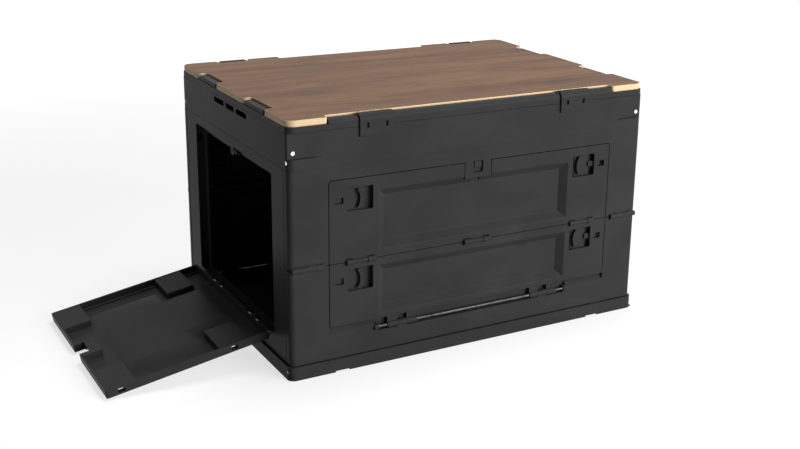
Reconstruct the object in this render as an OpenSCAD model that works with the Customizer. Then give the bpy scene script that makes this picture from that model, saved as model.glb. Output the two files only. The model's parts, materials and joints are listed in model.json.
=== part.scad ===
/* [Crate] */
// Length of the base from left to right
crate_w = 600; // [580:2:660]
// Depth of the base from front to back
crate_d = 430; // [424:2:480]
// Height from the ground to the underside of the table board
shell_h = 363; // [358:1:385]
// Distance the walls stand in from the edge of the base
shell_inset = 3; // [2:0.5:4]
// Height of the rim round the base
rim_h = 20; // [19:0.5:21]
// Height of the top frame together with the lip of the lid
collar_h = 59; // [57:0.5:62]
// Radius of the upright corners
corner_r = 10; // [8:1:12]

/* [Walls] */
// Depth of a folding wall from its outer face to its inner edge
wall_t = 15; // [14:0.5:16]
// Thickness of an outer skin
skin_t = 3; // [2.5:0.1:3.5]
// Thickness of flanges and ribs
flange_t = 2.5; // [2:0.1:3]
// Distance between two stiffening ribs
rib_pitch = 34; // [28:1:44]
// Width of the column between a front door and the end of its wall
column_w = 58.5; // [56:0.5:64]
// Height of the bar above the front door
head_h = 20; // [18:0.5:24]
// Height of the front of the sill above the ground
sill_h = 59; // [57:0.5:62]
// Height and depth of the sloping top of the sill
sill_slope = 8; // [6:0.5:9]
// Width of the lip that stops a door from inside
stop_lip = 7; // [5:0.5:9]

/* [Doors] */
// Thickness of a door leaf over its flanges
leaf_t = 12; // [11.5:0.1:12.2]
// Gap round a closed door
door_gap = 1.2; // [1:0.1:1.6]
// Depth of the sunk panel of a door
pan_depth = 9; // [7:0.5:9.2]
// Width of the bevel round the sunk panel of a front door
pan_bevel = 11; // [8:0.5:14]
// Width of the bevel round the sunk panel of an end door
end_bevel = 20; // [14:1:24]
// Width of the opening in an end wall
end_open_w = 306; // [290:1:312]
// Height of the sill of an end opening above the ground
end_sill_h = 50; // [49:0.5:52]
// Height of the top of an end opening above the ground
end_head_h = 289; // [280:1:291]
// Angle from closed at which an open end door meets its stop
end_door_open = 100; // [90:1:100]

/* [Latches] */
// Width of the finger pocket of a latch
pocket_w = 40; // [38:1:42]
// Height of the finger pocket of a latch
pocket_h = 34; // [30:1:36]
// Distance from the edge of a leaf to its finger pocket
pocket_edge = 27.3; // [26:0.1:29]
// Full travel of a latch slide
latch_travel = 18; // [16:0.5:18]
// Height of a latch bolt
bolt_h = 9; // [8:0.5:10]
// Radius of a turn button
button_r = 6.5; // [6:0.1:7]

/* [Hinges] */
// Radius of the steel rods on which the walls fold
rod_r = 3; // [2.6:0.1:3.1]
// Radius of the knuckles round those rods
knuckle_r = 4.5; // [4.3:0.1:4.6]
// Radius of the small hinge pins
pin_r = 1.5; // [1.2:0.1:1.8]
// Radius of the knuckles round the small pins
pin_knuckle_r = 4; // [3.6:0.1:4.2]
// Distance the middle hinge line stands proud of the walls
fold_proud = 1; // [0.8:0.1:1.4]
// Height of the hinge line of an end door above the ground
end_hinge_h = 44.5; // [43.5:0.5:45]
// Radius of the hinge rod of an end door
end_rod_r = 2.5; // [2:0.1:2.8]
// Radius of the barrels of an end door
barrel_r = 5; // [4.6:0.1:5.2]
// Radial clearance between a rod and its bore
fit = 0.08; // [0.03:0.01:0.1]

/* [Top] */
// Thickness of the wooden table board
board_t = 9.5; // [8:0.5:12]
// Height of the lip of the lid below the board
lip_h = 8; // [7:0.5:9]
// Radius of the corners of the board
board_r = 14; // [10:1:18]
// Length of the long shallow cut-out along the front of the board
front_cut_w = 476; // [440:2:480]
// Length of the long shallow cut-out along the back of the board
rear_cut_w = 270; // [200:2:300]
// Length of each notch in the ends of the board
notch_w = 74; // [60:1:84]
// Depth of each notch in the ends of the board
notch_d = 14; // [10:0.5:16]
// Depth of the cut-outs along the long sides of the board
cut_d = 12.5; // [11:0.5:13]
// Width of a lid clip
clip_w = 52; // [44:1:56]
// Width of a rear hinge plate
hinge_w = 40; // [36:1:44]
// Thickness of a clip plate
clip_t = 2.8; // [2.4:0.1:3]
// Length of a clip plate down the face of the top frame
clip_drop = 21.7; // [18:0.1:24]

/* [Hidden] */
$fn = 32;
eps = 0.02;
gap = 0.4;
slack = 0.3;

black = "#1b1b1d";
steel = "#c9cbce";
walnut = "#8a5a3a";

// Outer faces of the base, the walls and the collar
base_x = crate_w / 2;
base_y = crate_d / 2;
wall_x = base_x - shell_inset;
wall_y = base_y - shell_inset;
wall_in_y = wall_y - wall_t;
collar_y = wall_y + 1;

// Heights of the wall halves, of the line on which they fold and of the collar
wall_z0 = rim_h + 1;
collar_z0 = shell_h - collar_h;
wall_z1 = collar_z0 - gap;
fold_z = (wall_z0 + wall_z1) / 2;
lip_z0 = shell_h - lip_h;
collar_z1 = lip_z0 - slack;

// Rods on which the long walls fold, level with each other so that the walls fold straight down
rod_y = collar_y - skin_t - knuckle_r - slack - 0.7;
base_rod_z = 11;
top_rod_z = 2 * fold_z - base_rod_z;
rod_end = 1;

// Rods on which the end walls swing up under the lid
end_rod_x = wall_x - 9;
end_rod_z = collar_z0 + 23;
end_wall_w = 2 * (wall_in_y - 1);
end_swing = 88;

// Knuckles along the top and bottom of a long wall
tab_w = 24;
tab_pitch = 147;
tab_last = wall_x - 67;
tab_x = [-tab_last, -tab_pitch, 0, tab_pitch, tab_last];
web_t = 4;

// Middle knuckles at both ends of a long wall
fold_len = 48;
fold_x0 = wall_x - fold_len - 3;
fold_r = 4;

// Opening and leaves of the front door
open_x = wall_x - column_w;
open_z1 = wall_z1 - head_h;
leaf_x = open_x - door_gap;
leaf_z0 = sill_h + 10;
leaf_z1 = open_z1 - door_gap;
seam = 1;
leaf_skin = 2.6;
lock_tab_w = 44;
lock_tab_h = 25;
pan_x = 161;
lower_pan = [-pan_x, pan_x, leaf_z0 + 7, fold_z - 12];
upper_pan = [-pan_x, pan_x, fold_z + 11, leaf_z1 - 20.5];
front_corner_r = 6;

// Rod on which the front door drops, and its knuckles
drop_z = sill_h - 3;
drop_out = -1;
drop_rod_r = 2.5;
drop_rod_x = 166;
drop_slot_x = drop_rod_x + 2;
drop_knuckle_r = 4.4;
drop_c = 123;
leaf_knuckle_w = 16;
sill_knuckle_w = 15;

// Pins between the two leaves of the front door
leaf_pin_x = [-190, 0, 190];
leaf_pin_len = 44;
leaf_pin_mid = 22;
pocket_depth = 8;

// Latches: the pocket, the cavity behind it and the slide
latch_floor = 9.3;
latch_lip = 1.6;
slide_len = 27;
slide_back = 4;
ridge_home = 30;
window_w = 13;
window_edge = 8.5;
upper_latch_y = 253;
lower_latch_y = 135;
end_upper_latch_y = 266;
end_lower_latch_y = 103;
half_travel = latch_travel / 2;

// End doors
end_leaf_x = end_open_w / 2 - door_gap;
end_leaf_z0 = end_sill_h + 1;
end_leaf_r = 3;
end_leaf_z1 = end_head_h - door_gap;
end_barrel_x = 52;
end_side_barrel = [98, 133];
end_hook_x = 75;
end_hook_w = 14;
end_notch_w = 34;
end_notch_h = 15;
button_len = 15;
button_sweep = button_len + 1.6;
end_pans = [[-112, 112, 128, end_leaf_z1 - 42], [-76, 76, end_leaf_z0 + 16, 128 + 2.2 * end_bevel]];
button_z = end_head_h - button_r - 1;
button_out = -7;

// Knuckles at the top of an end wall
arm_c = [80, 165];
arm_w = 34;
arm_r = 5;

// Lid, clips and rear hinges
clip_gap = 0.4;
clip_knuckle_r = 4.5;
bend_r = 7.2;
bend_y = collar_y - (bend_r - 0.2);
bend_z = shell_h + 0.2;
clip_pin_y = bend_y;
clip_pin_z = bend_z + bend_r + clip_t - clip_knuckle_r;
clip_notch_y = -(wall_y - 1 - cut_d) - 0.6;
hinge_pegs = [-12, 12];
peg_r = 2;
peg_z = lip_z0 - 8;
lip_cut_w = 5.6;
lip_cut_h = 2.4;
clip_c = 166;
hinge_c = 214;
lid_clear_r = clip_pin_z - collar_z1 - 0.3;
strip_z1 = shell_h + 7;
lid_plate_t = 3.5;
lid_skirt_h = 7;
deck_in_x = wall_x - 25;
deck_in_y = wall_y - 22;
deck_t = 3;
screw_r = 1.6;
screw_head_r = 3.5;

// Placing: on each face x runs along it, y runs up and z points outwards from the outer face
module on_front() translate([0, -wall_y, 0]) rotate([90, 0, 0]) children();
module on_back() rotate([0, 0, 180]) on_front() children();
module on_left() rotate([0, 0, -90]) translate([0, -wall_x, 0]) rotate([90, 0, 0]) children();
module on_right() rotate([0, 0, 180]) on_left() children();
module both_sides() {
    children();
    mirror([1, 0, 0]) children();
}

// Flat outline with round corners
module slab_2d(x0, x1, y0, y1, r = 0) {
    if (r > 0) {
        translate([x0 + r, y0]) square([x1 - x0 - 2 * r, y1 - y0]);
        translate([x0, y0 + r]) square([x1 - x0, y1 - y0 - 2 * r]);
        for (x = [x0 + r, x1 - r], y = [y0 + r, y1 - r]) translate([x, y]) circle(r = r);
    } else {
        translate([x0, y0]) square([x1 - x0, y1 - y0]);
    }
}

module slab(x0, x1, y0, y1, z0, z1, r = 0) {
    translate([0, 0, z0]) linear_extrude(z1 - z0) slab_2d(x0, x1, y0, y1, r);
}

// Upright rim that follows the same outline
module rim(x0, x1, y0, y1, z0, z1, t, r = 0) {
    difference() {
        slab(x0, x1, y0, y1, z0, z1, r);
        slab(x0 + t, x1 - t, y0 + t, y1 - t, z0 - 1, z1 + 1, max(0, r - t));
    }
}

// Round bar along x between x0 and x1, with its centre at y and z
module bar_x(x0, x1, y, z, r) {
    translate([x0, y, z]) rotate([0, 90, 0]) cylinder(h = x1 - x0, r = r);
}

// Block with four bevelled sides that narrows away from the outer face, as a sunk panel does
module bevel_block(p, grow, depth, bevel) {
    intersection() {
        translate([0, p[3] + grow, 0]) rotate([90, 0, 0]) linear_extrude(p[3] - p[2] + 2 * grow)
            polygon([
                [p[0] - grow, eps], [p[1] + grow, eps],
                [p[1] + grow - bevel, -depth], [p[0] - grow + bevel, -depth]
            ]);
        translate([p[0] - grow, 0, 0]) rotate([90, 0, 90]) linear_extrude(p[1] - p[0] + 2 * grow)
            polygon([
                [p[2] - grow, eps], [p[3] + grow, eps],
                [p[3] + grow - bevel, -depth], [p[2] - grow + bevel, -depth]
            ]);
    }
}

// Evenly spaced ribs between two lines, none on the lines themselves
function between(a, b, pitch) =
    let (n = max(1, round(abs(b - a) / pitch)))
    [for (i = [1:1:n - 1]) a + (b - a) * i / n];

module ribs_across(x0, x1, y0, y1, depth) {
    for (y = between(y0, y1, rib_pitch)) slab(x0, x1, y - flange_t / 2, y + flange_t / 2, -depth, -skin_t + eps);
}

module ribs_up(x0, x1, y0, y1, depth) {
    for (x = between(x0, x1, rib_pitch)) slab(x - flange_t / 2, x + flange_t / 2, y0, y1, -depth, -skin_t + eps);
}

// Base tray: rim, raised floor, a channel for the wall hinges and ribs that stand on the ground
base_wall = 3;
floor_z = 9;
floor_t = 3;
channel_y = wall_in_y - 2;
channel_z0 = 1.2;
curb_t = 3;
curb_z = 17;
foot_notch = [208, 230];

module rod_web(x, y, z, z0, z1, y0, y1) {
    translate([x - web_t / 2, y0, z0]) cube([web_t, y1 - y0, z1 - z0]);
}

module base_tray() color(black) {
    difference() {
        union() {
            rim(-base_x, base_x, -base_y, base_y, 0, rim_h, base_wall, corner_r);
            slab(-base_x + 1, base_x - 1, -channel_y, channel_y, floor_z - floor_t, floor_z);
            for (y = between(-channel_y, channel_y, 65))
                translate([-base_x + 1, y - flange_t / 2, 0]) cube([crate_w - 2, flange_t, floor_z - 1]);
            for (x = between(-base_x, base_x, 75))
                translate([x - flange_t / 2, -channel_y, 0]) cube([flange_t, 2 * channel_y, floor_z - 1]);
            for (s = [-1, 1]) {
                slab(-base_x + 1, base_x - 1, s > 0 ? channel_y - curb_t : -base_y + 1,
                    s > 0 ? base_y - 1 : -channel_y + curb_t, channel_z0, channel_z0 + 2, 1);
                slab(-base_x + 1, base_x - 1, s > 0 ? channel_y - curb_t : -channel_y,
                    s > 0 ? channel_y : -channel_y + curb_t, 0, curb_z);
                slab(s > 0 ? wall_x - wall_t - 5 : -(wall_x - wall_t - 5 + curb_t),
                    s > 0 ? wall_x - wall_t - 5 + curb_t : -(wall_x - wall_t - 5),
                    -channel_y, channel_y, floor_z - 1, curb_z);
                for (x = tab_x, e = [-1, 1])
                    rod_web(x + e * (tab_w / 2 + gap + web_t / 2), 0, 0, channel_z0, curb_z - 1,
                        s > 0 ? channel_y - 1 : -base_y + 1, s > 0 ? base_y - 1 : -channel_y + 1);
            }
        }
        for (y = [-rod_y, rod_y]) bar_x(-base_x - 1, base_x + 1, y, base_rod_z, rod_r + fit);
        for (s = [-1, 1], x = [-foot_notch[1], foot_notch[0]], y = [-base_y - 1, base_y - base_wall - 1])
            translate([x, y, -1]) cube([foot_notch[1] - foot_notch[0], base_wall + 2, 3]);
    }
}

// Plate with a flange round it and ribs behind, between two heights
module wall_half(y0, y1) {
    slab(-wall_x, wall_x, y0, y1, -skin_t, 0);
    rim(-wall_x, wall_x, y0, y1, -wall_t, -skin_t + eps, flange_t);
}

// The upright edges of a long wall are rounded like the corners of the crate
module corner_trim() {
    r = corner_r - 2;
    both_sides() difference() {
        slab(wall_x - r, wall_x + 1, wall_z0 - 1, wall_z1 + 1, -r, 1);
        translate([wall_x - r, wall_z0 - 2, -r]) rotate([-90, 0, 0]) cylinder(h = wall_z1 - wall_z0 + 4, r = r, $fn = 48);
    }
}

// Knuckles that hold a wall half to the base or to the top frame
module edge_knuckles(y_edge, y_rod) {
    out = rod_y - wall_y;
    for (x = tab_x) {
        bar_x(x - tab_w / 2, x + tab_w / 2, y_rod, out, knuckle_r);
        slab(x - tab_w / 2, x + tab_w / 2, min(y_edge, y_rod), max(y_edge, y_rod), out - knuckle_r, out + knuckle_r);
    }
}

module edge_bores(y_rod) {
    corner_trim();
    bar_x(-wall_x - 1, wall_x + 1, y_rod, rod_y - wall_y, rod_r + fit);
}

// Middle knuckles: counted from the opening, the lower half holds the first and third, the upper half the others
fold_parts = 4;
fold_step = fold_len / fold_parts;
module fold_knuckles(upper) {
    both_sides() for (i = [0:fold_parts - 1]) if ((i % 2 == 1) == upper) {
        x0 = fold_x0 + i * fold_step;
        bar_x(x0 + slack / 2, x0 + fold_step - slack / 2, fold_z, fold_proud, fold_r);
        slab(x0 + slack / 2, x0 + fold_step - slack / 2, upper ? fold_z : fold_z - fold_r - 2,
            upper ? fold_z + fold_r + 2 : fold_z, -skin_t, fold_proud);
    }
}

module fold_cuts(upper) {
    both_sides() {
        for (i = [0:fold_parts - 1]) if ((i % 2 == 1) != upper) {
            x0 = fold_x0 + i * fold_step;
            slab(x0 - slack / 2, x0 + fold_step + slack / 2, fold_z - fold_r - slack, fold_z + fold_r + slack,
                fold_proud - fold_r - slack, fold_r + 4);
        }
        bar_x(fold_x0 - 1, fold_x0 + fold_len + 1, fold_z, fold_proud, pin_r + fit);
    }
}

module column_ribs(y0, y1) {
    both_sides() {
        ribs_across(open_x + 1, wall_x - 1, y0, y1, wall_t - 2);
        slab(open_x + column_w / 2, open_x + column_w / 2 + flange_t, y0, y1, -wall_t + 2, -skin_t + eps);
    }
}

// Slots in the side of an opening that take the latch bolts
module strike_slots(edge_x, heights) {
    both_sides() for (y = heights)
        slab(edge_x - 1, edge_x + half_travel + 4, y - bolt_h / 2 - 0.6, y + bolt_h / 2 + 0.6, -latch_floor, -2.4);
}

module front_wall_lower() color(black) on_front() {
    y1 = fold_z - seam / 2;
    difference() {
        union() {
            difference() {
                union() {
                    wall_half(wall_z0, y1);
                    column_ribs(wall_z0, y1);
                    slab(-open_x - flange_t, open_x + flange_t, wall_z0, y1, -wall_t, -skin_t + eps);
                }
                slab(-open_x, open_x, leaf_z0 - 1, y1 + 1, -leaf_t - slack, 1);
                slab(-open_x + stop_lip, open_x - stop_lip, leaf_z0 + stop_lip, y1 + 1, -wall_t - 1, 1);
                // Sloping sill in front of the leaf
                translate([-open_x, 0, 0]) rotate([90, 0, 90]) linear_extrude(2 * open_x)
                    polygon([[sill_h, 1], [sill_h, 0], [sill_h + sill_slope, -sill_slope],
                        [leaf_z0, -sill_slope], [leaf_z0, 1]]);
                slab(-drop_slot_x, drop_slot_x, drop_z - drop_knuckle_r - 1.6, leaf_z0, -7.6, 1);
                // Hollow back of the bottom bar
                for (x = [-open_x + 4 : (2 * open_x - 8) / 12 : open_x - 5])
                    slab(x, x + (2 * open_x - 8) / 12 - flange_t, wall_z0 + flange_t, sill_h - 13, -wall_t - 1, -skin_t);
            }
            edge_knuckles(wall_z0 + 1, base_rod_z);
            fold_knuckles(false);
            // Knuckles of the sill round the drop rod
            both_sides() sill_knuckles();
        }
        edge_bores(base_rod_z);
        fold_cuts(false);
        strike_slots(open_x, [lower_latch_y]);
        bar_x(-drop_rod_x - 1, drop_rod_x + 1, drop_z, drop_out, drop_rod_r + fit);
    }
}

module sill_knuckles() {
    for (x = [drop_c - sill_knuckle_w / 2, drop_slot_x - 6]) {
        w = x == drop_slot_x - 6 ? 6 + eps : sill_knuckle_w;
        bar_x(x, x + w, drop_z, drop_out, drop_knuckle_r);
        slab(x, x + w, drop_z - drop_knuckle_r - 2, drop_z, drop_out - drop_knuckle_r, drop_out + 1);
        slab(x, x + w, drop_z - drop_knuckle_r, drop_z + drop_knuckle_r, -8, drop_out);
    }
}

module front_wall_upper() color(black) on_front() {
    y0 = fold_z + seam / 2;
    difference() {
        union() {
            difference() {
                union() {
                    wall_half(y0, wall_z1);
                    column_ribs(y0, wall_z1);
                    slab(-open_x - flange_t, open_x + flange_t, open_z1, wall_z1, -wall_t, -skin_t + eps);
                    slab(-open_x - flange_t, open_x + flange_t, y0, open_z1 + 1, -wall_t, -skin_t + eps);
                }
                difference() {
                    slab(-open_x, open_x, y0 - 20, open_z1, -leaf_t - slack, 1, front_corner_r);
                    slab(-lock_tab_w / 2, lock_tab_w / 2, open_z1 - lock_tab_h, open_z1 + 1, -leaf_t - 1, 2);
                }
                difference() {
                    slab(-open_x + stop_lip, open_x - stop_lip, y0 - 1, open_z1 - stop_lip, -wall_t - 1, -leaf_t - slack + eps);
                    slab(-lock_tab_w / 2, lock_tab_w / 2, open_z1 - lock_tab_h, open_z1 + 1, -wall_t - 2, 2);
                }
                // Hollow back of the head
                for (x = [-open_x + 4 : (2 * open_x - 8) / 12 : open_x - 5])
                    slab(x, x + (2 * open_x - 8) / 12 - flange_t, open_z1 + 3, wall_z1 - flange_t, -wall_t - 1, -skin_t);
            }
            edge_knuckles(wall_z1 - 1, top_rod_z);
            fold_knuckles(true);
        }
        edge_bores(top_rod_z);
        fold_cuts(true);
        strike_slots(open_x, [upper_latch_y]);
        lock_window();
    }
}

// Window in the middle tab for the lock bolt, and the guide in which the bolt slides
lock_w = 16;
lock_bolt_w = 10;
module lock_window() {
    y = open_z1 - lock_tab_h / 2 + 4;
    slab(-lock_w / 2, lock_w / 2, y - 8.5, y + 8.5, -4, 1);
    slab(-lock_bolt_w / 2 - slack, lock_bolt_w / 2 + slack, open_z1 - lock_tab_h - 1, y + 8.5, -8.3, -3.9);
}

module back_wall_lower() color(black) on_back() {
    y1 = fold_z - seam / 2;
    p = [-wall_x + 70, wall_x - 70, wall_z0 + 20, y1 - 14];
    difference() {
        union() {
            wall_half(wall_z0, y1);
            both_sides() ribs_across(wall_x - 62, wall_x - 1, wall_z0, y1, wall_t - 2);
            ribs_up(-wall_x + 1, wall_x - 1, wall_z0, y1, skin_t + 4);
            bevel_block(p, skin_t, pan_depth + skin_t, pan_bevel);
            edge_knuckles(wall_z0 + 1, base_rod_z);
            fold_knuckles(false);
        }
        bevel_block(p, 0, pan_depth, pan_bevel);
        edge_bores(base_rod_z);
        fold_cuts(false);
    }
}

module back_wall_upper() color(black) on_back() {
    y0 = fold_z + seam / 2;
    p = [-wall_x + 70, wall_x - 70, y0 + 14, wall_z1 - 20];
    difference() {
        union() {
            wall_half(y0, wall_z1);
            both_sides() ribs_across(wall_x - 62, wall_x - 1, y0, wall_z1, wall_t - 2);
            ribs_up(-wall_x + 1, wall_x - 1, y0, wall_z1, skin_t + 4);
            bevel_block(p, skin_t, pan_depth + skin_t, pan_bevel);
            edge_knuckles(wall_z1 - 1, top_rod_z);
            fold_knuckles(true);
        }
        bevel_block(p, 0, pan_depth, pan_bevel);
        edge_bores(top_rod_z);
        fold_cuts(true);
    }
}

// Rods and pins
module long_rod(y, z) color(steel) bar_x(-base_x + rod_end, base_x - rod_end, y, z, rod_r);
module top_rod(y) color(steel) bar_x(-wall_x + rod_end / 2, wall_x - rod_end / 2, y, top_rod_z, rod_r);
module fold_pins() color(steel) both_sides() {
    bar_x(fold_x0 + 1, fold_x0 + fold_len - slack, fold_z, fold_proud, pin_r);
}
module swing_rod(s) color(steel) translate([s * end_rod_x, 0, end_rod_z]) rotate([90, 0, 0])
    cylinder(h = 2 * (wall_y - 3), r = rod_r, center = true);

// End wall: a frame round the end opening, hung from the rod in the top frame
module end_wall() {
    half = end_wall_w / 2;
    open = end_open_w / 2;
    out = end_rod_x - wall_x;
    difference() {
        union() {
            difference() {
                union() {
                    slab(-half, half, wall_z0, wall_z1, -skin_t, 0);
                    rim(-half, half, wall_z0, wall_z1, -wall_t, -skin_t + eps, flange_t);
                    slab(-open - flange_t, open + flange_t, end_sill_h - flange_t, end_head_h + flange_t,
                        -wall_t, -skin_t + eps);
                    both_sides() ribs_across(open + 1, half - 1, wall_z0, wall_z1, wall_t - 2);
                    ribs_up(-half + 1, half - 1, end_head_h, wall_z1 - 1, wall_t - 2);
                    ribs_up(-half + 1, half - 1, wall_z0 + 1, end_sill_h, wall_t - 2);
                }
                slab(-open, open, end_sill_h, end_head_h, -leaf_t - slack, 1, 4);
                slab(-open + 12, open - 12, end_sill_h + 2, end_head_h - 12, -wall_t - 1, 1, 4);
                // Trough in the sill for the barrels of the door
                slab(-end_side_barrel[1] - 2, end_side_barrel[1] + 2, end_hinge_h - barrel_r - 1, end_sill_h + 1,
                    -barrel_r - 1.2, 1);
            }
            slab(-end_side_barrel[1] - 2 - flange_t, end_side_barrel[1] + 2 + flange_t,
                end_hinge_h - barrel_r - 1 - flange_t, end_sill_h, -barrel_r - 1.2 - flange_t, -barrel_r - 1.2 + eps);
            both_sides() slab(end_hook_x - end_hook_w / 2, end_hook_x + end_hook_w / 2,
                end_hinge_h - barrel_r - 1 - eps, end_hinge_h + 0.5, -barrel_r - 1.2 - eps, barrel_r - 1);
            both_sides() bar_x(end_hook_x - end_hook_w / 2, end_hook_x + end_hook_w / 2, end_hinge_h, 0, barrel_r);
            // Arms and knuckles on the swing rod
            both_sides() for (c = arm_c) {
                slab(c - arm_w / 2, c + arm_w / 2, wall_z1 - 1, end_rod_z, out - arm_r + eps, out + arm_r - eps);
                bar_x(c - arm_w / 2, c + arm_w / 2, end_rod_z, out, arm_r);
            }
            // Boss of the turn button
            bar_button(button_r + 0.6, -wall_t, -leaf_t - slack + 2);
        }
        bar_x(-half - 1, half + 1, end_rod_z, out, rod_r + fit);
        bar_x(-end_side_barrel[1] - 2, end_side_barrel[1] + 2, end_hinge_h, 0, end_rod_r + fit);
        strike_slots(open, [end_upper_latch_y, end_lower_latch_y]);
        bar_button(pin_r + 1 + fit, -wall_t - 1, 1);
    }
}

module bar_button(r, z0, z1) translate([0, button_z, z0]) cylinder(h = z1 - z0, r = r);

module end_door_rod() bar_x(-end_side_barrel[1] - 1, end_side_barrel[1] + 1, end_hinge_h, 0, end_rod_r);

// Turn button: a knob with a finger, on a pin through its boss
module turn_button() {
    difference() {
        union() {
            bar_button(button_r, -leaf_t + 2 + slack, -2);
            slab(0, button_len, button_z - 3, button_z + 3, -leaf_t + 5, -3, 2.9);
            bar_button(pin_r + 1, -wall_t + 0.5, -leaf_t + 4);
        }
        slab(-4, 4, button_z - 0.8, button_z + 0.8, -4, 0);
    }
}

// Top frame: a hollow collar round the top, open below for the knuckles of the walls
pocket_x = wall_x - 34;
pocket_ramp = 17;
pocket_z0 = collar_z0 + 15;
pocket_d = 5;
pocket_t = 2.5;
end_slots = [[-65, -25], [-16, 16], [25, 65]];

module top_frame() color(black) {
    difference() {
        union() {
            rim(-wall_x, wall_x, -collar_y, collar_y, collar_z0, collar_z1, skin_t, corner_r);
            difference() {
                slab(-wall_x + 1, wall_x - 1, -collar_y + 1, collar_y - 1, collar_z1 - deck_t, collar_z1, corner_r);
                slab(-deck_in_x, deck_in_x, -deck_in_y, deck_in_y, collar_z0, shell_h, 8);
            }
            for (s = [-1, 1]) {
                // Inner skin along the long sides
                translate([-wall_x + 1, s > 0 ? wall_in_y + 0.2 : -wall_in_y - 2.2, collar_z0])
                    cube([2 * wall_x - 2, 2, collar_z1 - collar_z0 - 1]);
                // Webs that carry the rod of the long wall
                for (x = tab_x, e = [-1, 1]) rod_web(x + e * (tab_w / 2 + gap + web_t / 2), 0, 0, collar_z0 + 1,
                    collar_z1 - 1, s > 0 ? wall_in_y + 1 : -collar_y + 1, s > 0 ? collar_y - 1 : -wall_in_y - 1);
                // Webs that carry the rod of the end wall
                for (c = arm_c, e = [-1, 1], f = [-1, 1])
                    translate([s > 0 ? end_rod_x - 5 : -wall_x + 1, f * (c + e * (arm_w / 2 + gap + 1.5)) - 1.5,
                        end_rod_z - 9]) cube([wall_x - end_rod_x + 4, 3, collar_z1 - end_rod_z + 8]);
                // Backs of the corner pockets
                for (x = [-1, 1]) mirror([x > 0 ? 0 : 1, 0, 0]) mirror([0, s > 0 ? 1 : 0, 0]) pocket_shell();
            }
        }
        for (s = [-1, 1], x = [-1, 1]) mirror([x > 0 ? 0 : 1, 0, 0]) mirror([0, s > 0 ? 1 : 0, 0]) corner_pocket();
        for (y = [-rod_y, rod_y]) bar_x(-wall_x - 1, wall_x + 1, y, top_rod_z, rod_r + fit);
        for (x = [-end_rod_x, end_rod_x]) translate([x, 0, end_rod_z]) rotate([90, 0, 0])
            cylinder(h = crate_d, r = rod_r + fit, center = true);
        for (c = [-hinge_c, hinge_c], x = hinge_pegs) translate([c + x, collar_y + 1, peg_z]) rotate([90, 0, 0])
            cylinder(h = skin_t + 2, r = peg_r + fit);
        for (w = end_slots, x = [-wall_x - 1, wall_x - skin_t - 1])
            translate([x, w[0], collar_z1 - 12]) cube([skin_t + 2, w[1] - w[0], 8]);
    }
}

// Corner pocket on the front face at the right-hand end, with its ramp
module corner_pocket() {
    translate([0, 0, pocket_z0]) linear_extrude(collar_z1 - pocket_z0 + 1) polygon([
        [pocket_x - pocket_ramp, -collar_y - 1], [pocket_x - pocket_ramp, -collar_y],
        [pocket_x, -collar_y + pocket_d], [wall_x + 1, -collar_y + pocket_d],
        [wall_x + 1, -collar_y - 1]
    ]);
}

// Back, floor and ramp of that pocket
module pocket_shell() {
    back = -collar_y + pocket_d + pocket_t;
    z0 = pocket_z0 - pocket_t;
    z1 = collar_z1 - deck_t + 1;
    slab(pocket_x - pocket_ramp - 1, wall_x - 2, back - pocket_t, back, z0, z1);
    slab(pocket_x - pocket_ramp - 1, pocket_x + 2, -collar_y + 2, back, z0, z1);
    slab(pocket_x, wall_x - 5, -collar_y + 2, back - 1, z0, pocket_z0 + 1);
}

// Door leaf: a skin with a flange round it and a panel pressed inwards
module leaf_body(x0, x1, y0, y1, r, pan, bevel) {
    slab(x0, x1, y0, y1, -leaf_skin, 0, r);
    rim(x0, x1, y0, y1, -leaf_t, -leaf_skin + eps, flange_t, r);
    bevel_block(pan, leaf_skin, pan_depth + leaf_skin, bevel);
}

// Housing and cavity of a latch whose pocket starts at distance pocket_edge from the edge of the leaf
module latch_housing(edge, y) {
    slab(edge - pocket_edge - pocket_w - 3, edge - 1, y - pocket_h / 2 - 4, y + pocket_h / 2 + 4,
        -latch_floor - 2.2, -leaf_skin + eps);
}

module latch_cavity(edge, y) {
    p1 = edge - pocket_edge;
    p0 = p1 - pocket_w;
    slab(p0, p1, y - pocket_h / 2, y + pocket_h / 2, -latch_floor, 1, 2);
    slab(p0, p1 + 12, y - pocket_h / 2 - latch_lip, y + pocket_h / 2 + latch_lip, -latch_floor, -leaf_skin - 0.5);
    slab(p1, edge + 1, y - bolt_h / 2 - slack, y + bolt_h / 2 + slack, -latch_floor, -leaf_skin - 0.5);
    slab(edge - window_edge - window_w, edge - window_edge, y - bolt_h / 2, y + bolt_h / 2, -latch_floor, 1);
}

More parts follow.
